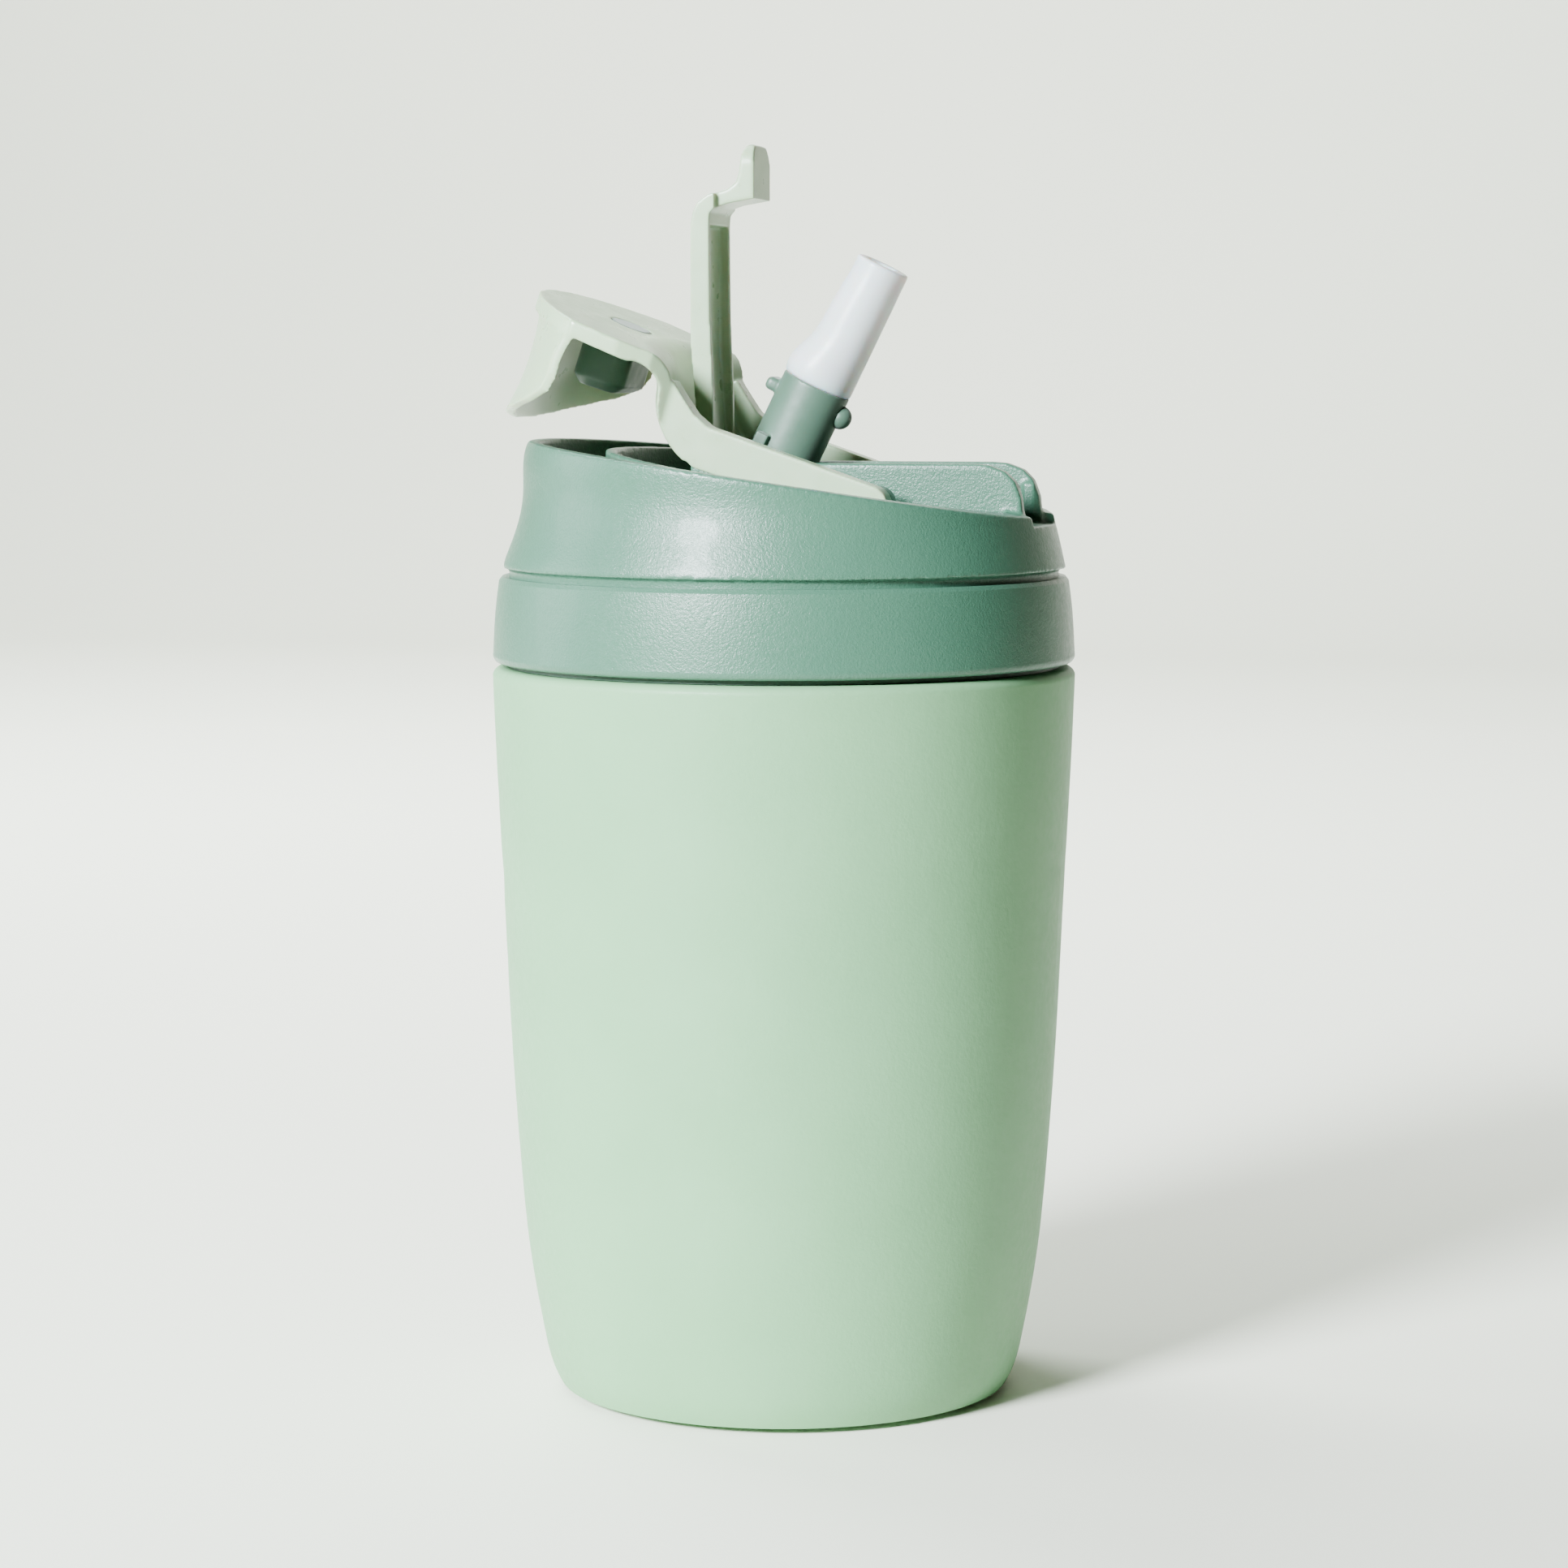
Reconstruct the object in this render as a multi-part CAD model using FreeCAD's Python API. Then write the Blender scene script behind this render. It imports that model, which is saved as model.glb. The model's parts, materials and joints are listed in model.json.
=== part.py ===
import FreeCAD, Part
import os

from FreeCAD import Vector

# Insulated tumbler with a two-way screw lid: a sip hole under a hinged cap, and a folding
# straw spout under a hinged cover. Millimetres. The origin is the centre of the flat base,
# +Z is up the cup and +X points to the end of the lid where the spout folds down.

# ---- driving dimensions ---------------------------------------------------------------
BODY_HEIGHT = 110.2
LIP_R = 43.95                           # outer radius just under the lip
SHELL_WALL, LINER_WALL = 0.8, 0.7
LINER_MOUTH_R, LINER_FLOOR = 40.4, 8.7
PAD_R, PAD_TOP, FOOT_Z = 27.5, 1.8, 1.0
PLATE_WALL = 0.8

THREAD_LEAD = 8.0                       # two starts, so ridges are half a lead apart
THREAD_STARTS = 2
PLUG_R, PLUG_WALL, PLUG_LOW = 38.6, 1.4, 97.0
DISC_LOW, DISC_TOP = 112.4, 114.0

COLLAR_LOW, COLLAR_TOP, COLLAR_BORE = 111.0, 123.8, 41.4
NECK_LOW, NECK_BORE = 125.1, 37.6
RIM_Z, RIM_SLOPE, RIM_BOW = 139.75, 0.1425, 0.000614   # the arched rim falls towards the spout end
RIM_INNER_R = 36.6
LEDGE_X, LEDGE_Z, LEDGE_HALF = 38.3, 131.7, 9.0        # finger notch at the spout end of the rim
WELL_FLOOR, DECK = 130.6, 1.8
BASIN_DROP = 3.0                        # sip basin's depth below the rim

CAP_PIVOT = Vector(17.5, 0, 135.0)
CAP_OPEN = 18.0                         # degrees the cap stands open
COVER_PIVOT = Vector(-9.5, 0, 141.5)
SPOUT_PIVOT = Vector(-1.8, 0, 138.3)
SPOUT_TILT = 26.2                       # raised spout's lean from upright
SPOUT_FOLD = 76.0                       # degrees it folds down into its channel
SPOUT_R, SPOUT_BORE = 5.3, 2.3
SOCKET_LOW, SPOUT_TOP = 9.2, 15.8       # the mouthpiece's socket in the spout
NUB_UP, NUB_R = 12.9, 1.8               # the vent nub's height up the spout

CHANNEL_HALF, WALL_HALF, WALL_TOP = 6.0, 8.5, 140.9
EAR_IN, EAR_OUT = 7.0, 9.5
COVER_HALF, TAB_HALF = 6.4, 5.1
ARM_IN, ARM_OUT = 16.5, 20.5
PLATE_LEFT, PLATE_TOP_LEFT, PLATE_FALL, PLATE_THICK = -30.0, 147.3, 0.095, 2.5
PLATE_HALF, PLATE_BOW_X, PLATE_BOW_R = 26.0, -10.0, 33.8
WALL_BOW, WALL_BOW_HALF = 4.4, 22.0     # the wall behind the cover bows this far, over this half width
SKIRT_THICK = 1.5
STOPPER_X, STOPPER_LOW, STOPPER_HALF = -29.9, 137.1, 7.6
TAB_TOP, TAB_CORNER = 188.2, 3.2
PIN_R, FIT = 1.2, 0.04                  # pins, and their radial running clearance
STRAW_R, STRAW_WALL, STRAW_LOW = 3.4, 0.6, 12.0
BIG = 120.0

X_AXIS, Y_AXIS, Z_AXIS = Vector(1, 0, 0), Vector(0, 1, 0), Vector(0, 0, 1)
ORIGIN = Vector(0, 0, 0)


# ---- helpers ----------------------------------------------------------------------------
def rz(points):
    """(r, z) pairs as points in the XZ plane."""
    return [Vector(r, 0, z) for r, z in points]


def curve(points):
    spline = Part.BSplineCurve()
    spline.interpolate(rz(points))
    return spline.toShape()


def face_of(curves, chains):
    """A face in the XZ plane, bounded by curves and by straight lines along each chain."""
    edges = [curve(points) for points in curves]
    for chain in chains:
        points = rz(chain)
        edges += [Part.makeLine(a, b) for a, b in zip(points[:-1], points[1:])]
    return Part.Face(Part.Wire(Part.__sortEdges__(edges)))


def turned(face):
    """A face turned about the cup's axis."""
    return face.revolve(ORIGIN, Z_AXIS, 360)


def polygon(points):
    return Part.Face(Part.makePolygon(points + points[:1]))


def ring(points):
    return turned(polygon(rz(points)))


def tube(x, y, low, top, outer, inner=0.0):
    solid = Part.makeCylinder(outer, top - low, Vector(x, y, low))
    if inner:
        solid = solid.cut(Part.makeCylinder(inner, top - low + 2, Vector(x, y, low - 1)))
    return solid


def cross_bar(centre, radius, y_low, y_high):
    """A round bar along Y."""
    return Part.makeCylinder(radius, y_high - y_low, Vector(centre.x, y_low, centre.z), Y_AXIS)


def side_prism(points, y_low, y_high):
    """An (x, z) outline pushed along Y."""
    return polygon([Vector(x, y_low, z) for x, z in points]).extrude(Y_AXIS * (y_high - y_low))


def plan_prism(points, low, top):
    """An (x, y) outline pushed up Z."""
    return polygon([Vector(x, y, low) for x, y in points]).extrude(Z_AXIS * (top - low))


def box(x0, x1, y0, y1, z0, z1):
    return Part.makeBox(x1 - x0, y1 - y0, z1 - z0, Vector(x0, y0, z0))


def upright_edges(solid):
    return [e for e in solid.Edges if abs(e.tangentAt(e.FirstParameter).z) > 0.9]


def rounded_block(x0, x1, half_y, z0, z1, corner):
    block = box(x0, x1, -half_y, half_y, z0, z1)
    return block.makeFillet(corner, upright_edges(block))


def rim_z(x):
    return RIM_Z - RIM_SLOPE * x - RIM_BOW * x * x


def under_rim(drop=0.0):
    """All the space below the arched rim, lowered by drop."""
    arch = [(x, rim_z(x) - drop) for x in range(-50, 51, 10)]
    outline = face_of([arch], [[arch[-1], (arch[-1][0], 0), (arch[0][0], 0), arch[0]]])
    outline.translate(Y_AXIS * -BIG)
    return outline.extrude(Y_AXIS * 2 * BIG)


def both_sides(solid):
    return [solid, solid.mirror(ORIGIN, Y_AXIS)]


def fuse_all(solids):
    joined = solids[0]
    for solid in solids[1:]:
        joined = joined.fuse(solid)
    return joined.removeSplitter()


def thread_ridges(section, low, turn):
    """A helical ridge per start. The section is (r, dz) and low is where its centre starts."""
    height = THREAD_LEAD * turn / 360
    ridges = []
    for start in range(THREAD_STARTS):
        helix = Part.makeHelix(THREAD_LEAD, height, section[0][0])
        profile = Part.makePolygon(rz(section + section[:1]))
        ridge = Part.Wire(helix).makePipeShell([profile], True, True)
        ridge.rotate(ORIGIN, Z_AXIS, start * 360 / THREAD_STARTS)
        ridge.translate(Vector(0, 0, low))
        ridges.append(ridge)
    return ridges


def opened(solid):
    """Cap parts are drawn shut and stored open."""
    solid.rotate(CAP_PIVOT, Y_AXIS, CAP_OPEN)
    return solid


def on_spout(solid):
    """Spout parts are drawn upright on the origin, then leaned and put on their pivot."""
    solid.rotate(ORIGIN, Y_AXIS, SPOUT_TILT)
    solid.translate(SPOUT_PIVOT)
    return solid


def folded_spout(solid):
    """A cutter drawn like the upright spout, laid where the folded spout lies."""
    solid.rotate(ORIGIN, Y_AXIS, SPOUT_TILT + SPOUT_FOLD)
    solid.translate(SPOUT_PIVOT)
    return solid


# ---- the cup ------------------------------------------------------------------------------
def make_outer_shell():
    outer = [(34.2, FOOT_Z), (35.5, 3.7), (36.75, 8.8), (38.55, 19), (40.12, 34.1),
             (41.48, 54.2), (42.4, 74.2), (43.38, 94.1), (LIP_R, 108.7)]
    inner = [(r - SHELL_WALL, z) for r, z in outer[2:]]
    lip = [outer[-1], (43.8, 109.5), (43.2, 110.05), (42.5, BODY_HEIGHT)]
    weld_r, hole_r = LINER_MOUTH_R + LINER_WALL, PAD_R + 0.3
    mouth = [lip[-1], (weld_r, BODY_HEIGHT), (weld_r, BODY_HEIGHT - SHELL_WALL), inner[-1]]
    foot = [inner[0], (34.6, 4.0), (33.4, PAD_TOP), (hole_r, PAD_TOP), (hole_r, FOOT_Z), outer[0]]
    return turned(face_of([outer, lip, inner], [mouth, foot]))


def liner_profile(grow):
    """The drinking side of the liner, moved out by grow."""
    floor = LINER_FLOOR - grow
    wall = [(LINER_MOUTH_R + grow, BODY_HEIGHT), (LINER_MOUTH_R + grow, 95)]
    taper = [wall[-1], (39.2 + grow, 88), (37.9 + grow, 60), (36.3 + grow, 36), (34.6 + grow, 20)]
    corner = [taper[-1], (33.3 + grow * 0.8, 13.5), (30.2 + grow * 0.5, floor + 1.1), (26, floor)]
    return wall, taper, corner


def make_inner_liner():
    wall, taper, corner = liner_profile(0)
    wall_out, taper_out, corner_out = liner_profile(LINER_WALL)
    floor = [corner[-1], (0, LINER_FLOOR), (0, LINER_FLOOR - LINER_WALL), corner_out[-1]]
    face = face_of([taper, corner, taper_out, corner_out], [wall, [wall[0], wall_out[0]], wall_out, floor])
    liner = turned(face)
    root, crest = LINER_MOUTH_R + 0.2, LINER_MOUTH_R - 1.25
    section = [(root, -0.75), (crest, -0.4), (crest, 0.4), (root, 0.75)]
    return fuse_all([liner] + thread_ridges(section, 101.0, 220))


def make_base_plate():
    plate = ring([(0, PAD_TOP), (33.0, PAD_TOP), (33.6, PAD_TOP + PLATE_WALL), (0, PAD_TOP + PLATE_WALL)])
    pump_dimple = tube(18, 0, PAD_TOP - 1, PAD_TOP + 0.4, 3.2)
    return plate.cut(pump_dimple)


def make_base_pad():
    pad = tube(0, 0, 0, PAD_TOP, PAD_R)
    rim = [e for e in pad.Edges if e.Closed and abs(e.BoundBox.ZMax) < 0.1]
    return pad.makeFillet(0.5, rim)


def make_vacuum_getter():
    low = PAD_TOP + PLATE_WALL
    return ring([(0, low), (5, low), (5, low + 1.6), (4.2, low + 1.6), (3.6, low + 0.9), (0, low + 0.9)])


# ---- the lid's turning parts --------------------------------------------------------------
def make_lid_gasket():
    inner_r, lip_r = PLUG_R + 0.15, LINER_MOUTH_R - 0.25
    flange_low, flange_top = BODY_HEIGHT + 0.1, COLLAR_LOW - 0.1
    return ring([(inner_r, 107.9), (lip_r - 0.5, 107.9), (lip_r, 108.5), (lip_r, flange_low),
                 (41.6, flange_low), (41.6, flange_top), (inner_r, flange_top)])


def make_lid_collar():
    foot = [(43.0, COLLAR_LOW), (43.5, 111.12), (43.8, 111.5), (43.9, 112.3)]
    side = [foot[-1], (43.77, 115), (43.5, 118.8), (43.15, 121.8), (42.95, 123.2)]
    top = [side[-1], (42.5, COLLAR_TOP), (COLLAR_BORE, COLLAR_TOP), (COLLAR_BORE, DISC_LOW),
           (PLUG_R + 0.6, DISC_LOW), (PLUG_R + 0.6, COLLAR_LOW), foot[0]]
    return turned(face_of([foot, side], [top]))


def make_lid_inner():
    bore = PLUG_R - PLUG_WALL
    plug = ring([(0, DISC_LOW), (bore, DISC_LOW), (bore, PLUG_LOW), (PLUG_R - 0.5, PLUG_LOW),
                 (PLUG_R, PLUG_LOW + 0.6), (PLUG_R, DISC_LOW), (COLLAR_BORE - 0.1, DISC_LOW),
                 (COLLAR_BORE - 0.1, DISC_TOP), (0, DISC_TOP)])
    chimney = rounded_block(-36.0, -25.0, 9.3, DISC_LOW, 137.0, 3.5)
    chimney = chimney.cut(divider_arc(46.6, WELL_FLOOR - DECK, 200))
    port = rounded_block(-34.9, -26.1, 8.2, DISC_LOW - 5, 140.0, 2.6)
    straw_hole = tube(SPOUT_PIVOT.x, 0, DISC_LOW - 5, DISC_TOP + 5, 3.95)
    air_hole = tube(12, 0, DISC_LOW - 5, DISC_TOP + 5, 1.0)
    root, crest = PLUG_R - 0.2, PLUG_R + 1.3
    section = [(root, -0.75), (crest, -0.4), (crest, 0.4), (root, 0.75)]
    body = fuse_all([plug, chimney] + thread_ridges(section, 99.0, 300))
    return body.cut(port).cut(straw_hole).cut(air_hole)


def neck_solid():
    """The neck is waisted, and leans towards the spout end as it rises."""
    stations = [(NECK_LOW, 42.4, 0.1), (127.7, 41.7, 0.2), (130.6, 40.8, 0.4), (133.5, 40.1, 0.5),
                (137.0, 39.8, 0.6), (140.7, 39.8, 0.6), (144.0, 39.0, 0.6), (147.0, 37.8, 0.6)]
    rings = [Part.Wire(Part.makeCircle(r, Vector(x, 0, z), Z_AXIS)) for z, r, x in stations]
    return Part.makeLoft(rings, True, False)


def divider_arc(radius, low, top):
    """The sip basin's wall is an arc about this upright axis."""
    return tube(20, 0, low, top, radius)


def channel_floor_z(x):
    return WALL_TOP - 8.3 - 0.2345 * (x - SPOUT_PIVOT.x)


def spout_channel_cut():
    """The slot that the folded spout lies in, with its round seat and the vent nub's pocket."""
    left, right = SPOUT_PIVOT.x, RIM_INNER_R - 0.6
    slot = side_prism([(left, channel_floor_z(left)), (right, channel_floor_z(right)), (right, BIG * 2),
                       (left, BIG * 2)], -CHANNEL_HALF, CHANNEL_HALF)
    mouth = box(right - 1, 60, -CHANNEL_HALF, CHANNEL_HALF, 131.9, 200)
    seat = cross_bar(SPOUT_PIVOT, SPOUT_R + 0.4, -CHANNEL_HALF, CHANNEL_HALF)
    over_seat = box(left - 8, left, -CHANNEL_HALF, CHANNEL_HALF, SPOUT_PIVOT.z, 200)
    pocket_r = NUB_R + 0.5
    pocket = fuse_all([
        Part.makeCylinder(pocket_r, SPOUT_R + NUB_R + 0.7, Vector(0, 0, up), X_AXIS)
        for up in (NUB_UP, NUB_UP + 1.0)])
    vent = Part.makeCylinder(1.0, SPOUT_R + 12, Vector(0, 0, NUB_UP), X_AXIS)
    return [slot, mouth, seat, over_seat, folded_spout(pocket), folded_spout(vent)]


def channel_blocks():
    """Everything that stands in the lid around the spout: walls, floor, seat and nozzle boss."""
    left, right = -7.3, 38.2
    low = 122.0
    wall_outline = [(left, low + 4), (right, low + 4), (right, 132.8), (37.9, 135.8), (37.0, 138.2),
                    (35.4, 139.8), (33.0, 140.7), (31.0, WALL_TOP), (left, WALL_TOP)]
    block = side_prism(wall_outline, -WALL_HALF, WALL_HALF)
    floor_drop = DECK + 0.4
    below = side_prism([(-BIG, 0), (BIG, 0), (BIG, channel_floor_z(BIG) - floor_drop),
                        (SPOUT_PIVOT.x, channel_floor_z(SPOUT_PIVOT.x) - floor_drop),
                        (-BIG, channel_floor_z(SPOUT_PIVOT.x) - floor_drop)], -BIG, BIG)
    pocket_boss = folded_spout(
        Part.makeCylinder(NUB_R + 1.6, SPOUT_R + NUB_R + 1.9, Vector(0, 0, NUB_UP + 0.5), X_AXIS))
    nozzle_boss = tube(SPOUT_PIVOT.x, 0, low, SPOUT_PIVOT.z - 2, 6.0)
    return [block.cut(below), pocket_boss, nozzle_boss]


def cover_ear(y_low, y_high):
    knuckle = cross_bar(COVER_PIVOT, 2.6, y_low, y_high)
    post = box(COVER_PIVOT.x - 2.6, COVER_PIVOT.x + 2.6, y_low, y_high, WELL_FLOOR - 0.5, COVER_PIVOT.z)
    return knuckle.fuse(post)


def cap_lug(y_low, y_high):
    lug = cross_bar(CAP_PIVOT, 2.8, y_low, y_high)
    post = box(CAP_PIVOT.x - 2.8, CAP_PIVOT.x + 2.8, y_low, y_high, WELL_FLOOR - 0.5, CAP_PIVOT.z)
    return lug.fuse(post)


def make_lid_shell():
    outside = fuse_all([neck_solid(), tube(0, 0, DISC_TOP, NECK_LOW, COLLAR_BORE)]).common(under_rim())
    inner_r = COLLAR_BORE - 1.8
    hollow = tube(0, 0, DISC_TOP - 1, WELL_FLOOR - DECK, NECK_BORE)
    hollow = hollow.fuse(tube(0, 0, DISC_TOP - 1, NECK_LOW - 1, inner_r))
    under_basin = tube(0, 0, WELL_FLOOR - 5, 137.0, RIM_INNER_R - 0.3).cut(divider_arc(46.6, 0, 200))
    well = tube(0, 0, WELL_FLOOR, 200, RIM_INNER_R).common(divider_arc(44.4, 0, 200))
    basin = tube(0, 0, 100, 200, RIM_INNER_R).cut(divider_arc(46.0, 0, 200)).cut(under_rim(BASIN_DROP))
    shell = outside.cut(hollow).cut(under_basin).cut(well).cut(basin)

    fittings = channel_blocks()
    fittings += both_sides(cover_ear(EAR_IN, EAR_OUT)) + both_sides(cap_lug(12.6, 16.0))
    shell = fuse_all([shell] + fittings)
    for cutter in spout_channel_cut():
        shell = shell.cut(cutter)

    ledge = rounded_block(LEDGE_X, LEDGE_X + 12, LEDGE_HALF, LEDGE_Z, 200, 3.0)
    shell = shell.cut(ledge)
    rib = box(35.6, 37.4, TAB_HALF + 0.3, CHANNEL_HALF + 0.2, 133.0, 137.8)
    latch = ring([(37.5, 140.9), (39.9, 140.9), (40.15, 141.4), (39.6, 142.2), (37.5, 142.2)])
    latch = latch.common(box(-50, -30, -4, 4, 130, 150))
    shell = fuse_all([shell, latch] + both_sides(rib))

    sip_hole = rounded_block(-35.5, -25.9, 8.8, 130, 200, 3.0).cut(under_rim(30))
    sip_hole = sip_hole.common(tube(0, 0, 0, 300, RIM_INNER_R))
    nozzle_hole = tube(SPOUT_PIVOT.x, 0, 100, SPOUT_PIVOT.z, 4.0)
    trunnion_hole = cross_bar(SPOUT_PIVOT, 1.8 + FIT, -8.1, 8.1)
    pin_holes = [cross_bar(COVER_PIVOT, PIN_R, -EAR_OUT - 1, EAR_OUT + 1),
                 cross_bar(CAP_PIVOT, PIN_R, -ARM_IN, ARM_IN)]
    for cutter in [sip_hole, nozzle_hole, trunnion_hole] + pin_holes:
        shell = shell.cut(cutter)
    return shell.removeSplitter()


# ---- the drinking line inside the lid -----------------------------------------------------
def make_spout_seal():
    """Its top is hollowed to the spout's foot, and lowered where the folded barrel lies."""
    seal = tube(SPOUT_PIVOT.x, 0, 129.6, SPOUT_PIVOT.z, 3.95, SPOUT_BORE)
    folded_barrel = folded_spout(tube(0, 0, 0, 12, SPOUT_R + 0.1))
    return seal.cut(cross_bar(SPOUT_PIVOT, SPOUT_R + 0.1, -9, 9)).cut(folded_barrel)


def make_straw_adapter():
    nipple_r = STRAW_R - STRAW_WALL
    x, bore = SPOUT_PIVOT.x, 2.0
    head = tube(x, 0, 111.5, 129.6, 3.9)
    stop = tube(x, 0, DISC_TOP, DISC_TOP + 1.2, 5.2)
    nipple = tube(x, 0, 99.0, 111.5, nipple_r)
    return fuse_all([head, stop, nipple]).cut(tube(x, 0, 90, 140, bore))


def make_straw_tube():
    bottom = tube(SPOUT_PIVOT.x, 0, STRAW_LOW, 111.5, STRAW_R, STRAW_R - STRAW_WALL)
    notch = box(-20, 20, -1.2, 1.2, STRAW_LOW - 1, STRAW_LOW + 2.2)
    return bottom.cut(notch)


# ---- the sip cap ----------------------------------------------------------------------------
def plate_top(x):
    return PLATE_TOP_LEFT - PLATE_FALL * (x - PLATE_LEFT)


def cap_ribbon():
    """The plate rolls over into an S-shaped wall that goes down behind the cover, bowed in plan."""
    far_left, roll_top, roll_low = -50.0, -21.5, -23.5
    right = [(roll_top, plate_top(roll_top)), (-18.4, 145.9), (-15.9, 143.9), (-14.2, 140.5), (-13.0, 138.0),
             (-11.6, 136.0), (-9.2, 134.4)]
    left = [(-10.0, 132.4), (-12.6, 133.8), (-14.9, 136.0), (-16.6, 139.1), (-17.3, 141.9), (-19.6, 143.9),
            (roll_low, plate_top(roll_low) - PLATE_THICK)]
    sections = []
    for y in (-27, -22, -16, -8, 0, 8, 16, 22, 27):
        shift = -WALL_BOW * (1 - (y / WALL_BOW_HALF) ** 2)
        chains = [[(x + shift, z - PLATE_FALL * shift) for x, z in side] for side in (right, left)]
        ends = [(far_left, plate_top(far_left) - PLATE_THICK), (far_left, plate_top(far_left))]
        rest = rz([chains[1][-1]] + ends + [chains[0][0]])
        edges = [curve(chain) for chain in chains] + [Part.makeLine(rz(chains[0])[-1], rz(chains[1])[0])]
        edges += [Part.makeLine(a, b) for a, b in zip(rest[:-1], rest[1:])]
        section = Part.Wire(Part.__sortEdges__(edges))
        section.translate(Y_AXIS * y)
        sections.append(section)
    return Part.makeLoft(sections, True, False)


def cap_plan():
    """The cap seen from above: a bow-shaped front, narrowing to the arms."""
    front = tube(PLATE_BOW_X, 0, 100, 200, PLATE_BOW_R)
    front = front.common(box(-60, -31.6, -PLATE_HALF, PLATE_HALF, 100, 200))
    side = [(-31.6, -PLATE_HALF), (-24, -25.6), (-19, -23.8), (-15.5, -ARM_OUT), (0, -ARM_OUT)]
    return front.fuse(plan_prism(side + [(x, -y) for x, y in reversed(side)], 100, 200))


def cap_arm(y_low, y_high):
    upper = [(17.5, 138.0), (-1.5, 138.3), (-8.6, 138.4), (-11.3, 139.5), (-13.5, 141.2), (-15.9, 143.2)]
    lower = [(-17.2, 142.2), (-16.6, 139.1), (-14.9, 136.0), (-12.4, 133.6), (-9.2, 132.0), (17.5, 132.0)]
    arm = side_prism(upper + lower, y_low, y_high)
    return arm.fuse(cross_bar(CAP_PIVOT, 3.0, y_low, y_high))


def bowed_band(z, nose_x, corner_x, thick):
    """The outline of a thin bowed wall at height z, through its nose and its two corners."""
    points = [[Vector(corner_x + lift, -PLATE_HALF, z), Vector(nose_x + lift, 0, z),
               Vector(corner_x + lift, PLATE_HALF, z)] for lift in (0, thick)]
    (a, b, c), (d, e, f) = points
    return Part.Wire([Part.Arc(a, b, c).toShape(), Part.makeLine(c, f), Part.Arc(f, e, d).toShape(),
                      Part.makeLine(d, a)])


def cap_skirt():
    """The thumb tab: a bowed wall that hugs the lid's neck, with a rounded lower edge."""
    levels = [(147.0, -43.4, -31.6), (144.0, -42.5, -32.1), (141.6, -42.2, -32.65), (137.6, -42.2, -32.6),
              (133.7, -42.5, -33.5), (128.4, -43.4, -34.6)]
    bands = [bowed_band(z, nose, corner, SKIRT_THICK) for z, nose, corner in levels]
    wall = Part.makeLoft(bands, True, False)
    tongue = [(-25.8, 147.5), (-25.9, 138.6), (-25.0, 136.2), (-22.0, 133.7), (-17.0, 131.6), (-10, 129.7),
              (-4, 128.8)]
    outline = tongue + [(-y, z) for y, z in reversed(tongue)]
    window = polygon([Vector(-60, y, z) for y, z in outline]).extrude(Vector(40, 0, 0))
    return wall.common(window)


def make_sip_cap():
    ribbon = cap_ribbon().common(cap_plan())
    ribbon = ribbon.cut(box(-30, 0, -10.5, 10.5, 100, 135.2))
    above_plate = side_prism([(x, plate_top(x)) for x in (-60, 0)] + [(0, 200), (-60, 200)], -40, 40)
    skirt = cap_skirt().cut(above_plate)
    cap = fuse_all([ribbon, skirt] + both_sides(cap_arm(ARM_IN, ARM_OUT)))
    head_hole = stopper_oval(3.1, 4.7, 130, 200)
    pin_hole = cross_bar(CAP_PIVOT, PIN_R + FIT, -ARM_OUT + 0.8, ARM_OUT - 0.8)
    return opened(cap.cut(head_hole).cut(pin_hole))


def stopper_oval(half_x, half_y, low, top):
    oval = Part.Ellipse(Vector(STOPPER_X, 0, low), half_y, half_x).toShape()
    oval.rotate(Vector(STOPPER_X, 0, low), Z_AXIS, 90)
    return Part.Face(Part.Wire(oval)).extrude(Z_AXIS * (top - low))


def make_sip_stopper():
    top = plate_top(STOPPER_X) - PLATE_THICK
    block = rounded_block(-35.0, -26.7, STOPPER_HALF, STOPPER_LOW, top + 2, 2.8)
    foot = [e for e in block.Edges if e.BoundBox.ZMax < STOPPER_LOW + 0.01]
    block = block.makeChamfer(1.3, foot)
    under_plate = side_prism([(x, z) for x in (-50,) for z in (plate_top(-50) - PLATE_THICK, 100)]
                             + [(x, z) for x in (0,) for z in (100, plate_top(0) - PLATE_THICK)], -30, 30)
    head_room = side_prism([(-50, 100), (0, 100), (0, plate_top(0)), (-50, plate_top(-50))], -30, 30)
    head = stopper_oval(3.05, 4.65, top - 1, 160).common(head_room)
    stopper = block.common(under_plate).fuse(head)
    return opened(stopper.removeSplitter())


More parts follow.
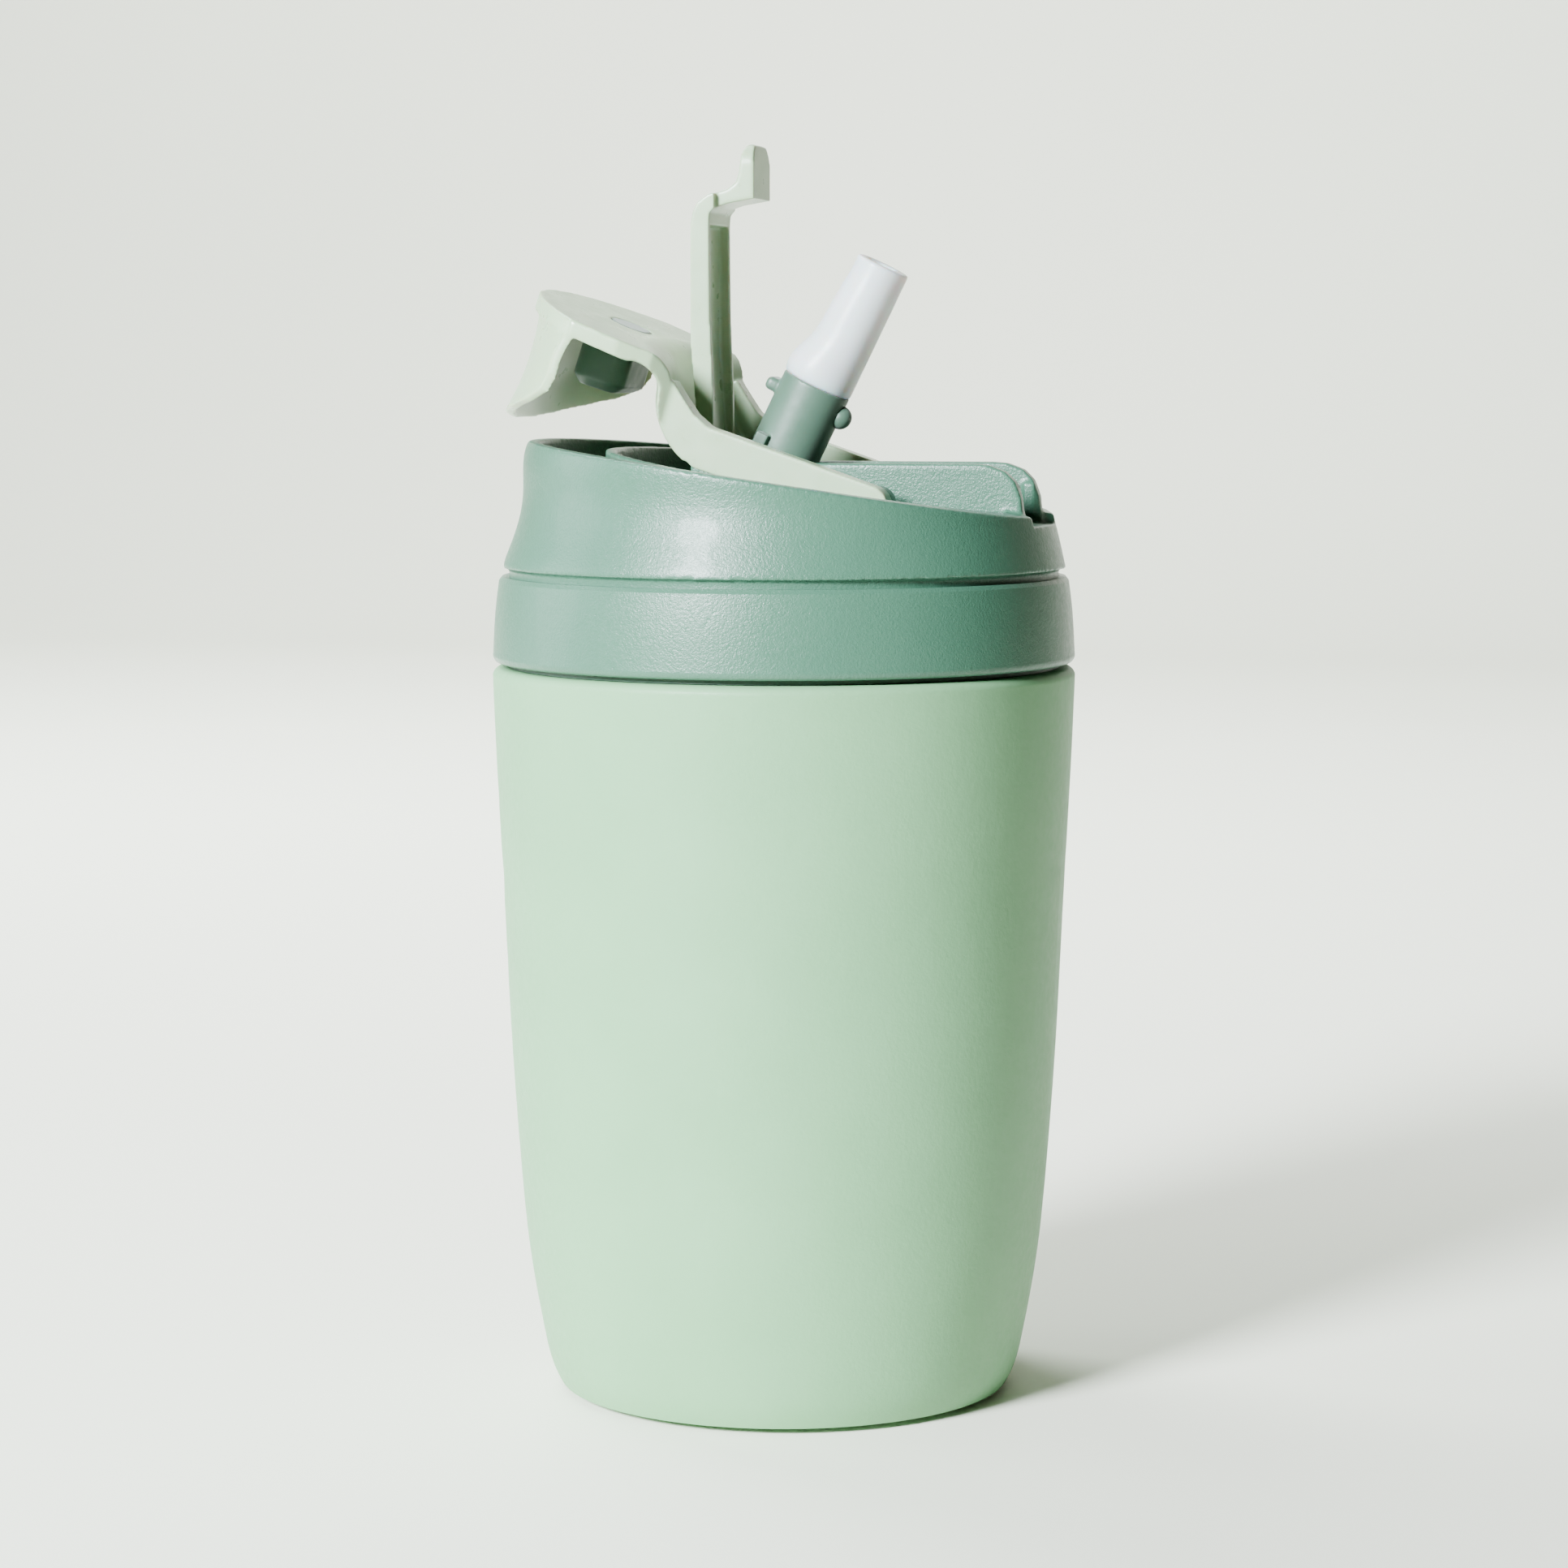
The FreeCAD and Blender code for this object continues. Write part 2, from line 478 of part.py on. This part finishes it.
# ---- the straw cover --------------------------------------------------------------------------
def make_straw_cover():
    outer = [(-11.5, 141.8), (-11.8, 145.6), (-12.3, 151.8), (-12.8, 158.0), (-12.8, 176.4), (-12.5, 178.1),
             (-11.8, 179.5), (-10.1, 180.7), (-7.6, 181.4), (-6.2, 182.4), (-5.7, 184.0), (-5.4, 186.7),
             (-5.0, 187.8), (-4.3, TAB_TOP)]
    inner = [(-3.6, 187.8), (-3.4, 185.5), (-3.4, 180.0), (-7.5, 179.3), (-9.0, 178.8), (-9.8, 178.0),
             (-10.0, 176.4), (-9.8, 161.3), (-9.4, 152.0), (-9.3, 141.8)]
    strip = side_prism(outer + inner, -COVER_HALF, COVER_HALF)
    plate, rim = 1.3, 1.1
    trough = [(-11.8 + plate, 144.2), (-12.3 + plate, 151.8), (-12.8 + plate, 158.0),
              (-12.8 + plate, 176.0), (-5, 176.8), (-5, 144.2)]
    hollow = side_prism(trough, -COVER_HALF + rim, COVER_HALF - rim)
    slim = both_sides(box(-9.2, 0, TAB_HALF, TAB_HALF + 4, 176.6, TAB_TOP + 2))
    inset_y, inset_z = TAB_HALF - TAB_CORNER, TAB_TOP - TAB_CORNER
    corner = box(-9.2, 0, inset_y, TAB_HALF + 4, inset_z, TAB_TOP + 2)
    corner = corner.cut(Part.makeCylinder(TAB_CORNER, 12, Vector(-10, inset_y, inset_z), X_AXIS))
    barrel = cross_bar(COVER_PIVOT, 1.9, -COVER_HALF, COVER_HALF)
    cover = strip.cut(hollow).fuse(barrel)
    for cutter in slim + both_sides(corner) + [cross_bar(COVER_PIVOT, PIN_R + FIT, -10, 10)]:
        cover = cover.cut(cutter)
    return cover.removeSplitter()


# ---- the folding spout ------------------------------------------------------------------------
def make_spout_body():
    barrel = Part.makeCylinder(SPOUT_R, SPOUT_TOP + SPOUT_R, Vector(0, 0, -SPOUT_R))
    foot = cross_bar(ORIGIN, SPOUT_R, -SPOUT_R, SPOUT_R)
    foot = foot.fuse(box(-SPOUT_R, SPOUT_R, -SPOUT_R, SPOUT_R, 0, SPOUT_TOP))
    trunnions = cross_bar(ORIGIN, 1.8, -7.9, 7.9)
    rib = box(-6.9, -4.6, -2.4, 2.4, 12.0, 14.0)
    rib = rib.makeFillet(0.7, rib.Edges)
    lugs = both_sides(box(-4.1, -2.1, 4.2, 5.8, 4.0, 6.2))
    body = fuse_all([barrel.common(foot), trunnions, rib] + lugs)
    heel = box(-8, -3.0, -8, 8, -8, 3.8)
    bore = tube(0, 0, -10, 30, SPOUT_BORE)
    socket = tube(0, 0, SOCKET_LOW, 30, 4.35)
    nub_hole = Part.makeCylinder(0.9, 3, Vector(3.5, 0, NUB_UP), X_AXIS)
    for cutter in (heel, bore, socket, nub_hole):
        body = body.cut(cutter)
    return on_spout(body)


def make_mouthpiece():
    """Straight along the channel side, stepped in on the other, with an oval tip."""
    straight = SPOUT_R + 0.05
    stations = [(SPOUT_TOP, 5.25, 5.25), (18.4, 5.5, 5.45), (20.4, 4.8, 5.2), (22.4, 4.0, 4.9),
                (26.0, 3.5, 4.7), (31.0, 3.1, 4.5), (36.2, 2.9, 4.4)]
    wires = []
    for up, step_side, half_y in stations:
        half_x = (straight + step_side) / 2
        centre = Vector(straight - half_x, 0, up)
        major, minor = max(half_x, half_y + 0.001), min(half_x, half_y)
        oval = Part.Ellipse(centre, major, minor).toShape()
        if half_y >= half_x:
            oval.rotate(centre, Z_AXIS, 90)
        wires.append(Part.Wire(oval))
    tip = Part.makeLoft(wires, True, False)
    spigot = tube(0, 0, SOCKET_LOW, SPOUT_TOP, 4.3)
    bore = tube(1.0, 0, SPOUT_TOP, 40, 2.2).fuse(tube(0.5, 0, 0, SPOUT_TOP + 0.1, SPOUT_BORE))
    return on_spout(fuse_all([tip, spigot]).cut(bore))


def make_vent_nub():
    dome = Part.makeSphere(NUB_R, Vector(SPOUT_R, 0, NUB_UP))
    dome = dome.cut(Part.makeCylinder(SPOUT_R, 40, Vector(0, 0, 0)))
    stem = Part.makeCylinder(0.85, 1.2, Vector(SPOUT_R - 0.9, 0, NUB_UP), X_AXIS)
    return on_spout(dome.fuse(stem).removeSplitter())


# ---- pins ---------------------------------------------------------------------------------------
def make_cover_pin():
    return cross_bar(COVER_PIVOT, PIN_R, -EAR_OUT + 0.1, EAR_OUT - 0.1)


def make_cap_pin_rear():
    return cross_bar(CAP_PIVOT, PIN_R, 12.6, ARM_OUT - 0.9)


def make_cap_pin_front():
    return make_cap_pin_rear().mirror(ORIGIN, Y_AXIS)


PARTS = {
    "outer_shell": make_outer_shell, "inner_liner": make_inner_liner, "base_plate": make_base_plate,
    "base_pad": make_base_pad, "vacuum_getter": make_vacuum_getter, "lid_gasket": make_lid_gasket,
    "lid_collar": make_lid_collar, "lid_inner": make_lid_inner, "lid_shell": make_lid_shell,
    "spout_seal": make_spout_seal, "straw_adapter": make_straw_adapter, "straw_tube": make_straw_tube,
    "sip_cap": make_sip_cap, "sip_stopper": make_sip_stopper, "cap_pin_front": make_cap_pin_front,
    "cap_pin_rear": make_cap_pin_rear, "straw_cover": make_straw_cover, "cover_pin": make_cover_pin,
    "spout_body": make_spout_body, "mouthpiece": make_mouthpiece, "vent_nub": make_vent_nub,
}

os.makedirs("parts", exist_ok=True)
for name, make in PARTS.items():
    shape = make()
    solids = shape.Solids
    print(name, "valid" if shape.isValid() else "INVALID", len(solids), "solid(s)", round(shape.Volume, 1))
    if len(solids) == 1:
        shape = solids[0]
    shape.exportStep(f"parts/{name}.step")
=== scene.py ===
import json
import math

import bpy
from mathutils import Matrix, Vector

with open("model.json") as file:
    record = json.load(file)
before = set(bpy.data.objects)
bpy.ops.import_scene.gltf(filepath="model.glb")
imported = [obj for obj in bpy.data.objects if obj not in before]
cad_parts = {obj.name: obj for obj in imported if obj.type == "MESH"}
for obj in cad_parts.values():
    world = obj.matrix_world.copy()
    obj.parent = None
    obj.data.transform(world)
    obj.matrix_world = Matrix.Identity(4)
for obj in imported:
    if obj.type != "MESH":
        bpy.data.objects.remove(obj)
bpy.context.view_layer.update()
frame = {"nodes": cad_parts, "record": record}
NODES = frame["nodes"]
MM = 0.001

# ---- the camera, set to the photograph's angle ------------------------------------------
CAMERA_AZIMUTH, CAMERA_DOWN = math.radians(14.0), math.radians(5.73)
CAMERA_DISTANCE, CAMERA_HEIGHT = 0.625, 0.1548  # metres from the cup's axis and the floor
CAMERA_LENS, CAMERA_SENSOR = 95.0, 36.0  # millimetres
CAMERA_CLIP = 0.02, 20


def make_camera():
    data = bpy.data.cameras.new("camera")
    data.lens = CAMERA_LENS
    data.sensor_width = CAMERA_SENSOR
    data.clip_start, data.clip_end = CAMERA_CLIP
    camera = bpy.data.objects.new("camera", data)
    bpy.context.scene.collection.objects.link(camera)
    side, back = math.sin(CAMERA_AZIMUTH), math.cos(CAMERA_AZIMUTH)
    camera.location = (CAMERA_DISTANCE * side, -CAMERA_DISTANCE * back, CAMERA_HEIGHT)
    level, drop = math.cos(CAMERA_DOWN), math.sin(CAMERA_DOWN)
    forward = Vector((-side * level, back * level, -drop))
    camera.rotation_mode = "QUATERNION"
    camera.rotation_quaternion = forward.to_track_quat("-Z", "Y")
    bpy.context.scene.camera = camera


# ---- materials --------------------------------------------------------------------------
# Base colours are set for this scene's lights, which make them look paler than they are.
# Sizes and depths are in metres.
GRAIN_LOW, GRAIN_HIGH = 0.3, 0.7  # the part of a noise's range that is put to use


def srgb(red, green, blue):
    """An sRGB colour out of 255 as the linear colour that the shaders use."""
    def linear(value):
        value /= 255
        return value / 12.92 if value <= 0.04045 else ((value + 0.055) / 1.055) ** 2.4
    return (linear(red), linear(green), linear(blue), 1.0)


class Shader:
    """A Principled material with a few named helpers for its node tree."""

    def __init__(self, name, roughness, **constants):
        self.material = bpy.data.materials.new(name)
        self.material.use_nodes = True
        self.tree = self.material.node_tree
        self.bsdf = self.tree.nodes["Principled BSDF"]
        self.bsdf.inputs["Roughness"].default_value = roughness
        for socket, value in constants.items():
            self.bsdf.inputs[socket.replace("_", " ")].default_value = value
        self.place = self.node("ShaderNodeTexCoord").outputs["Object"]

    def node(self, kind, **settings):
        made = self.tree.nodes.new(kind)
        for key, value in settings.items():
            setattr(made, key, value)
        return made

    def link(self, source, target):
        self.tree.links.new(source, target)

    def noise(self, size, detail=2.0, stretch=None):
        """Noise whose grains are about size across, stretched by axis if asked."""
        place = self.place
        if stretch:
            mapping = self.node("ShaderNodeMapping")
            mapping.inputs["Scale"].default_value = stretch
            self.link(place, mapping.inputs["Vector"])
            place = mapping.outputs["Vector"]
        noise = self.node("ShaderNodeTexNoise")
        noise.inputs["Scale"].default_value = 1 / size
        noise.inputs["Detail"].default_value = detail
        self.link(place, noise.inputs["Vector"])
        return noise.outputs["Fac"]

    def colours(self, source, first, second):
        """Base colour, from first to second as source rises."""
        ramp = self.node("ShaderNodeValToRGB")
        ramp.color_ramp.elements[0].position = GRAIN_LOW
        ramp.color_ramp.elements[1].position = GRAIN_HIGH
        ramp.color_ramp.elements[0].color = first
        ramp.color_ramp.elements[1].color = second
        self.link(source, ramp.inputs["Fac"])
        self.link(ramp.outputs["Color"], self.bsdf.inputs["Base Color"])

    def rough(self, source, low, high):
        """Roughness, from low to high as source rises."""
        remap = self.node("ShaderNodeMapRange")
        remap.inputs["From Min"].default_value = GRAIN_LOW
        remap.inputs["From Max"].default_value = GRAIN_HIGH
        remap.inputs["To Min"].default_value = low
        remap.inputs["To Max"].default_value = high
        self.link(source, remap.inputs["Value"])
        self.link(remap.outputs["Result"], self.bsdf.inputs["Roughness"])

    def bumps(self, *layers):
        """Fine relief, where each layer is (height source, depth)."""
        normal = None
        for source, depth in layers:
            bump = self.node("ShaderNodeBump")
            bump.inputs["Strength"].default_value = 1.0
            bump.inputs["Distance"].default_value = depth
            self.link(source, bump.inputs["Height"])
            if normal:
                self.link(normal, bump.inputs["Normal"])
            normal = bump.outputs["Normal"]
        self.link(normal, self.bsdf.inputs["Normal"])


def powder_coat():
    """Fine orange-peel paint on steel, barely mottled."""
    coat = Shader("powder_coat", 0.5, Specular_IOR_Level=0.3, Coat_Weight=0.04,
                  Coat_Roughness=0.3)
    coat.colours(coat.noise(0.02, 3), srgb(112, 160, 116), srgb(117, 165, 121))
    coat.rough(coat.noise(0.0012, 2), 0.46, 0.58)
    coat.bumps((coat.noise(0.0009, 2), 0.00003), (coat.noise(0.00035, 1), 0.000012))
    return coat.material


def sage_plastic():
    """Spark-eroded texture: a fine grain that glitters where the light catches it."""
    plastic = Shader("sage_plastic", 0.34, Specular_IOR_Level=0.42, Coat_Weight=0.07,
                     Coat_Roughness=0.12)
    plastic.colours(plastic.noise(0.03, 2), srgb(60, 99, 80), srgb(65, 105, 85))
    plastic.rough(plastic.noise(0.0008, 2), 0.3, 0.42)
    plastic.bumps((plastic.noise(0.0004, 2), 0.00007), (plastic.noise(0.00018, 1), 0.00004))
    return plastic.material


def pale_plastic():
    """Smooth moulded plastic with a slow ripple from the mould."""
    plastic = Shader("pale_plastic", 0.3, Subsurface_Weight=0.12, Subsurface_Scale=0.003)
    plastic.colours(plastic.noise(0.025, 2), srgb(154, 178, 142), srgb(160, 183, 148))
    plastic.rough(plastic.noise(0.003, 3), 0.26, 0.38)
    plastic.bumps((plastic.noise(0.006, 2), 0.00003), (plastic.noise(0.0004, 1), 0.000004))
    return plastic.material


def inner_plastic():
    """Matte grey plastic of the plug inside the lid."""
    plastic = Shader("inner_plastic", 0.5)
    plastic.colours(plastic.noise(0.02, 2), srgb(112, 112, 100), srgb(120, 120, 108))
    plastic.rough(plastic.noise(0.002, 2), 0.42, 0.55)
    plastic.bumps((plastic.noise(0.0006, 2), 0.00001))
    return plastic.material


def dark_silicone():
    """Matte silicone with a soft bloom and a faint grain."""
    rubber = Shader("dark_silicone", 0.5, Subsurface_Weight=0.08, Subsurface_Scale=0.002,
                    Sheen_Weight=0.15)
    rubber.colours(rubber.noise(0.012, 3), srgb(66, 94, 77), srgb(72, 100, 83))
    rubber.rough(rubber.noise(0.002, 2), 0.42, 0.56)
    rubber.bumps((rubber.noise(0.0007, 2), 0.000012))
    return rubber.material


def clear_silicone():
    """Milky, translucent silicone."""
    rubber = Shader("clear_silicone", 0.35, Subsurface_Weight=0.6, Subsurface_Scale=0.006,
                    Transmission_Weight=0.25, IOR=1.41)
    rubber.colours(rubber.noise(0.01, 2), srgb(226, 231, 233), srgb(232, 236, 238))
    rubber.rough(rubber.noise(0.0025, 2), 0.3, 0.42)
    rubber.bumps((rubber.noise(0.003, 2), 0.00002), (rubber.noise(0.0005, 1), 0.000005))
    return rubber.material


def straw_plastic():
    """Cloudy plastic with faint lines along the straw."""
    plastic = Shader("straw_plastic", 0.3, Transmission_Weight=0.4, IOR=1.49,
                     Subsurface_Weight=0.3, Subsurface_Scale=0.004)
    plastic.colours(plastic.noise(0.02, 2), srgb(222, 230, 224), srgb(228, 235, 229))
    plastic.rough(plastic.noise(0.003, 2), 0.24, 0.36)
    plastic.bumps((plastic.noise(0.0008, 1, (1, 1, 0.1)), 0.000006))
    return plastic.material


def brushed_steel():
    """Turned steel: fine rings round the cup's axis."""
    steel = Shader("brushed_steel", 0.3, Metallic=1.0)
    rings = steel.noise(0.0006, 3, (0.04, 0.04, 1))
    steel.colours(steel.noise(0.02, 2), srgb(196, 196, 194), srgb(206, 206, 204))
    steel.rough(rings, 0.24, 0.4)
    steel.bumps((rings, 0.000008))
    return steel.material


def getter_metal():
    """Dull sintered metal, out of sight between the walls."""
    metal = Shader("getter_metal", 0.55, Metallic=1.0)
    metal.colours(metal.noise(0.004, 4), srgb(120, 118, 116), srgb(150, 148, 145))
    metal.rough(metal.noise(0.001, 3), 0.45, 0.7)
    metal.bumps((metal.noise(0.0006, 3), 0.00003))
    return metal.material


FINISHES = {
    "powder_coat": powder_coat, "steel": brushed_steel, "getter_metal": getter_metal,
    "sage_plastic": sage_plastic, "pale_plastic": pale_plastic, "inner_plastic": inner_plastic,
    "dark_silicone": dark_silicone, "clear_silicone": clear_silicone,
    "straw_plastic": straw_plastic,
}


def paint_nodes():
    """Give each CAD node the finish of its material slot."""
    made = {slot: make() for slot, make in FINISHES.items()}
    for part in frame["record"]["subparts"]:
        node = NODES[part["node"]]
        node.data.materials.clear()
        node.data.materials.append(made[part["material_slot"]])


# ---- softened edges -----------------------------------------------------------------------
SOFTENED = {  # node: voxel in millimetres, rounds of smoothing, share of the faces kept
    "lid_shell": (0.3, 10, 0.6),
    "sip_cap": (0.25, 8, 1.0),
    "sip_stopper": (0.25, 6, 1.0),
    "straw_cover": (0.2, 7, 1.0),
    "spout_body": (0.2, 4, 1.0),
    "mouthpiece": (0.25, 14, 1.0),
    "vent_nub": (0.15, 3, 1.0),
}
SMOOTHING_FACTOR = 0.5
CRISP = (
    "outer_shell", "inner_liner", "lid_collar", "base_pad", "base_plate", "lid_gasket",
    "vacuum_getter", "lid_inner", "straw_tube", "straw_adapter", "spout_seal",
    "cap_pin_front", "cap_pin_rear", "cover_pin",
)
CRISP_ANGLE = 32  # degrees: a sharper edge than this stays an edge


def soften(node, voxel, rounds, keep):
    """Round a moulded piece's edges: remeshed to even quads, smoothed, then thinned."""
    obj = NODES[node]
    remesh = obj.modifiers.new("even", "REMESH")
    remesh.mode = "VOXEL"
    remesh.voxel_size = voxel * MM
    remesh.use_smooth_shade = True
    relax = obj.modifiers.new("relax", "SMOOTH")
    relax.factor = SMOOTHING_FACTOR
    relax.iterations = rounds
    if keep < 1:
        thin = obj.modifiers.new("thin", "DECIMATE")
        thin.ratio = keep


def smooth_by_angle(node, degrees):
    mesh = NODES[node].data
    mesh.shade_smooth()
    mesh.set_sharp_from_angle(angle=math.radians(degrees))


# ---- the floor and light -------------------------------------------------------------------
FLOOR_HALF_WIDTH, FLOOR_FRONT, FLOOR_BACK = 4.0, -4.0, 1.6
BACKDROP_BEND, BACKDROP_TOP = 0.5, 2.6
BEND_STEPS = 16
CUP_MIDDLE = Vector((0, 0, 0.09))
COOL, COOL_WASH = (0.93, 1.0, 1.06), (0.93, 1.0, 1.03)
WORLD_COLOUR, WORLD_STRENGTH = (228, 226, 180), 0.05


def make_stage():
    """A pale floor that sweeps up into a backdrop far behind."""
    profile = [(FLOOR_FRONT, 0.0), (FLOOR_BACK, 0.0)]
    for step in range(1, BEND_STEPS + 1):
        a = math.pi / 2 * step / BEND_STEPS
        profile.append((FLOOR_BACK + BACKDROP_BEND * math.sin(a),
                        BACKDROP_BEND * (1 - math.cos(a))))
    profile.append((FLOOR_BACK + BACKDROP_BEND, BACKDROP_TOP))
    vertices = [(x, y, z) for y, z in profile for x in (-FLOOR_HALF_WIDTH, FLOOR_HALF_WIDTH)]
    faces = [(2 * i, 2 * i + 1, 2 * i + 3, 2 * i + 2) for i in range(len(profile) - 1)]
    mesh = bpy.data.meshes.new("floor")
    mesh.from_pydata(vertices, [], faces)
    mesh.shade_smooth()
    floor = bpy.data.objects.new("floor", mesh)
    bpy.context.scene.collection.objects.link(floor)
    paper = Shader("floor_paper", 0.7)
    paper.colours(paper.noise(0.3, 2), srgb(240, 240, 224), srgb(243, 243, 227))
    paper.bumps((paper.noise(0.002, 2), 0.00002))
    mesh.materials.append(paper.material)


def around_cup(azimuth, elevation, distance):
    """A place at this distance from the cup's middle, with azimuth 0 straight in front."""
    a, e = math.radians(azimuth), math.radians(elevation)
    direction = Vector((math.sin(a) * math.cos(e), -math.cos(a) * math.cos(e), math.sin(e)))
    return CUP_MIDDLE + direction * distance


def area_light(name, place, target, size, power, colour, spread=180):
    """A round light at place, pointed at target. A narrower spread in degrees is brighter."""
    data = bpy.data.lights.new(name, "AREA")
    data.shape = "DISK"
    data.size = size
    data.energy = power
    data.color = colour
    data.spread = math.radians(spread)
    light = bpy.data.objects.new(name, data)
    bpy.context.scene.collection.objects.link(light)
    light.location = place
    light.rotation_mode = "QUATERNION"
    light.rotation_quaternion = (Vector(place) - Vector(target)).to_track_quat("Z", "Y")


def make_world():
    """A faint even glow, so that no shadow is black."""
    world = bpy.data.worlds.new("world")
    world.use_nodes = True
    background = world.node_tree.nodes["Background"]
    background.inputs["Color"].default_value = srgb(*WORLD_COLOUR)
    background.inputs["Strength"].default_value = WORLD_STRENGTH
    bpy.context.scene.world = world


def make_lights():
    """A key at the front left, a fill from the left and a wash on the backdrop."""
    area_light("key", around_cup(-25, 24, 1.2), (-0.10, 0.0, 0.07), 0.36, 9.2, COOL, 60)
    area_light("left_fill", around_cup(-88, 12, 1.4), CUP_MIDDLE, 0.7, 10, COOL)
    area_light("backdrop_wash", (-0.6, 0.5, 1.1), (-0.5, 1.6, 0.25), 0.8, 74, COOL_WASH)


make_camera()
paint_nodes()
for crisp_node in CRISP:
    smooth_by_angle(crisp_node, CRISP_ANGLE)
for soft_node, (voxel_mm, smoothing, share) in SOFTENED.items():
    soften(soft_node, voxel_mm, smoothing, share)
make_stage()
make_world()
make_lights()
